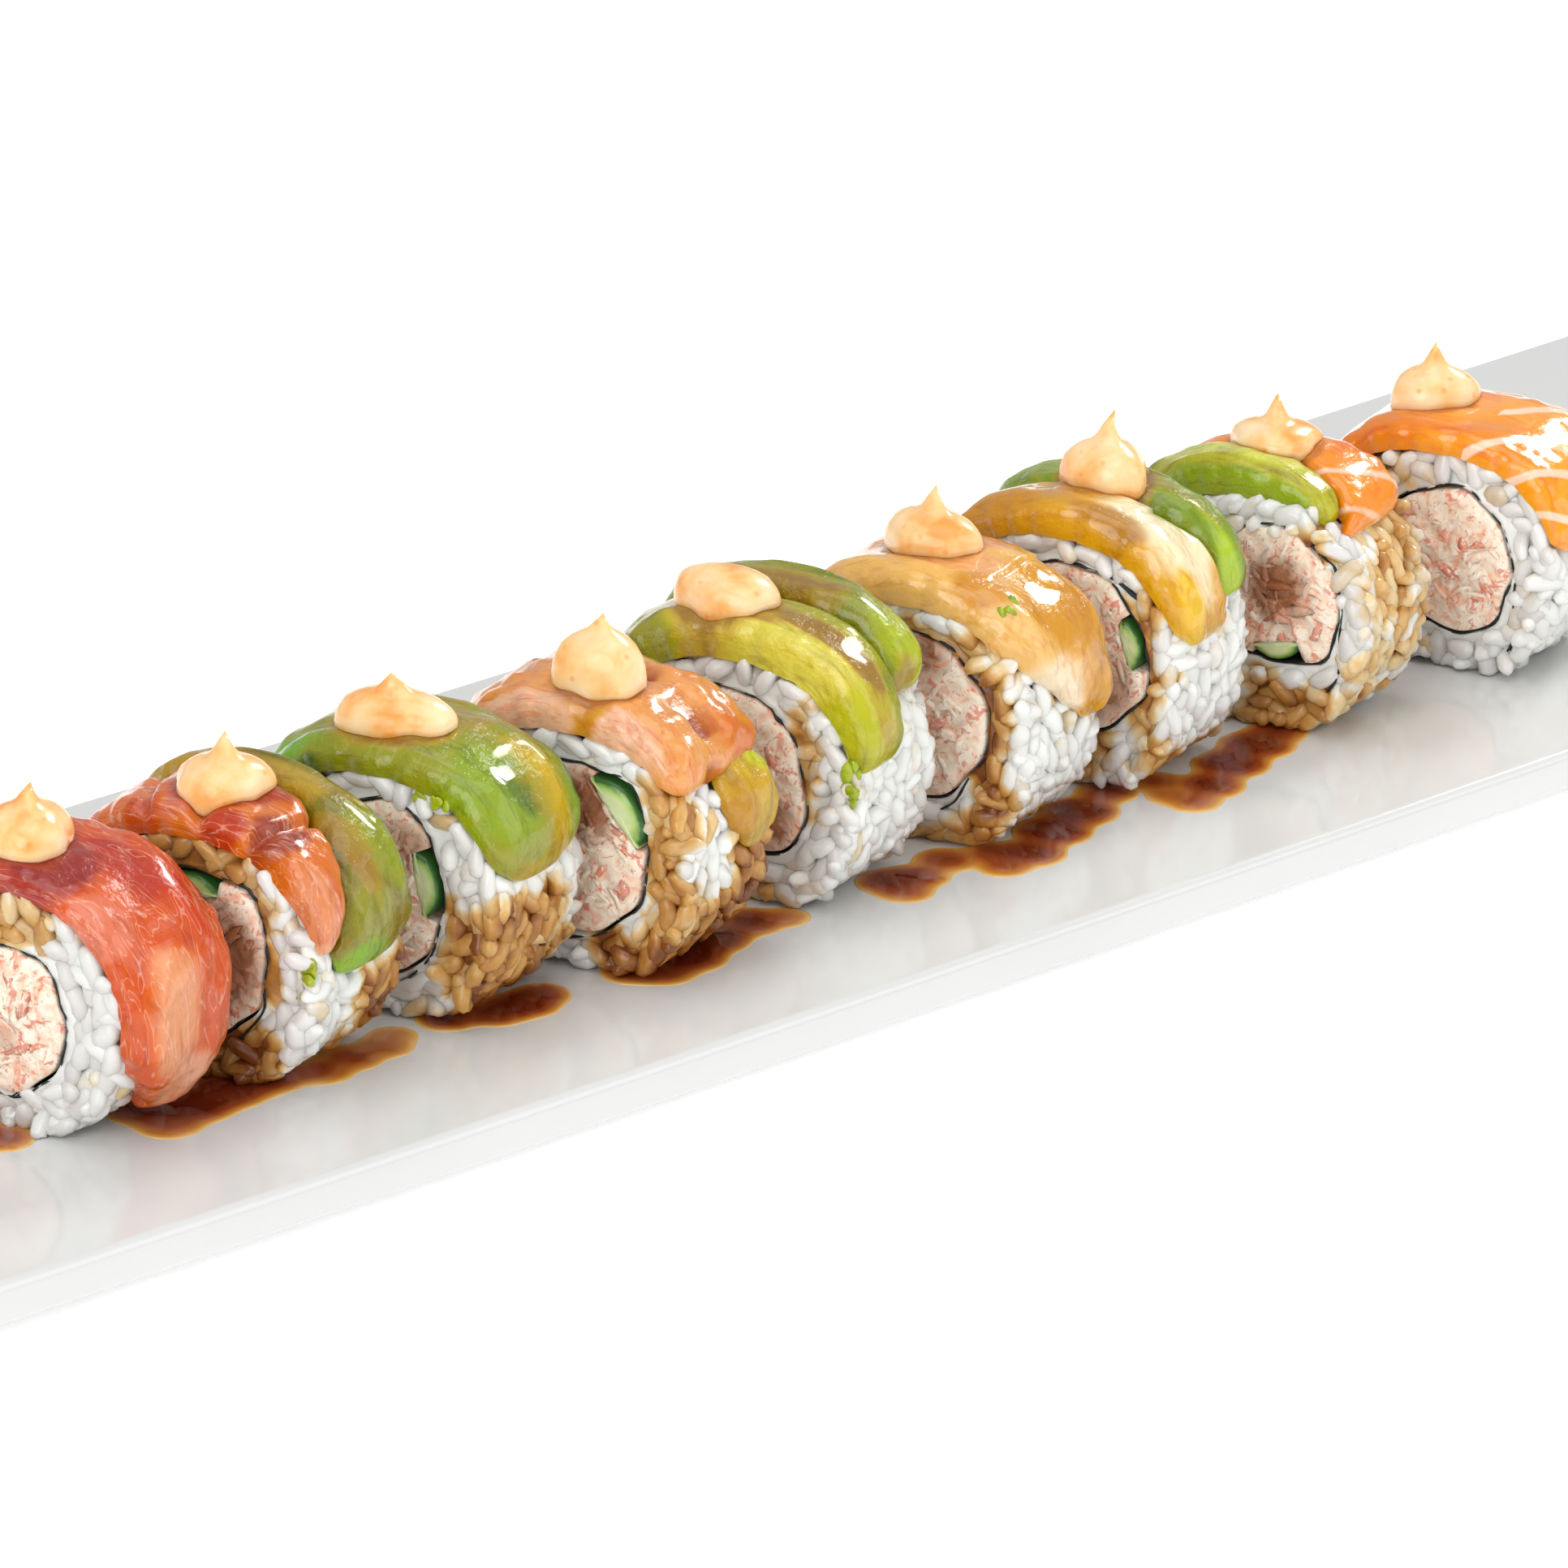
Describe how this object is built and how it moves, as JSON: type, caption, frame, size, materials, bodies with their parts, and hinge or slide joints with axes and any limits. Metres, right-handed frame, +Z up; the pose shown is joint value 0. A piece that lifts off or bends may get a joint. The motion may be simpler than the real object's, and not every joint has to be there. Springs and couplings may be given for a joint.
{
  "type": "rainbow roll on a plate",
  "caption": "Row of sliced inside-out sushi rolls topped with fish and avocado and dotted with spicy mayonnaise, served on a long white porcelain plate.",
  "frame": {"origin": "centre of the underside of the plate, on the surface that it stands on", "axes": "+X along the plate and the row of slices, +Y towards the plate's back edge, +Z up"},
  "size_m": [0.46, 0.1284, 0.0606],
  "materials": {
    "porcelain": "gloss",
    "rice": "satin",
    "nori": "satin",
    "crab": "satin",
    "cucumber": "satin",
    "tuna": "gloss",
    "avocado": "gloss",
    "shrimp": "gloss",
    "whitefish": "gloss",
    "salmon": "gloss",
    "mayonnaise": "gloss"
  },
  "bodies": {
    "root": {"avocado_2": "avocado", "avocado_3": "avocado", "avocado_4": "avocado", "avocado_5": "avocado", "avocado_7": "avocado", "avocado_8": "avocado", "avocado_rear_5": "avocado", "crab_1": "crab", "crab_2": "crab", "crab_3": "crab", "crab_4": "crab", "crab_5": "crab", "crab_6": "crab", "crab_7": "crab", "crab_8": "crab", "crab_9": "crab", "cucumber_1": "cucumber", "cucumber_2": "cucumber", "cucumber_3": "cucumber", "cucumber_4": "cucumber", "cucumber_7": "cucumber", "cucumber_8": "cucumber", "cucumber_9": "cucumber", "mayonnaise_1": "mayonnaise", "mayonnaise_2": "mayonnaise", "mayonnaise_3": "mayonnaise", "mayonnaise_4": "mayonnaise", "mayonnaise_5": "mayonnaise", "mayonnaise_6": "mayonnaise", "mayonnaise_7": "mayonnaise", "mayonnaise_8": "mayonnaise", "mayonnaise_9": "mayonnaise", "nori_1": "nori", "nori_2": "nori", "nori_3": "nori", "nori_4": "nori", "nori_5": "nori", "nori_6": "nori", "nori_7": "nori", "nori_8": "nori", "nori_9": "nori", "plate": "porcelain", "rice_1": "rice", "rice_2": "rice", "rice_3": "rice", "rice_4": "rice", "rice_5": "rice", "rice_6": "rice", "rice_7": "rice", "rice_8": "rice", "rice_9": "rice", "salmon_8": "salmon", "salmon_9": "salmon", "shrimp_4": "shrimp", "tuna_1": "tuna", "tuna_2": "tuna", "whitefish_6": "whitefish", "whitefish_7": "whitefish"}
  },
  "joints": []
}
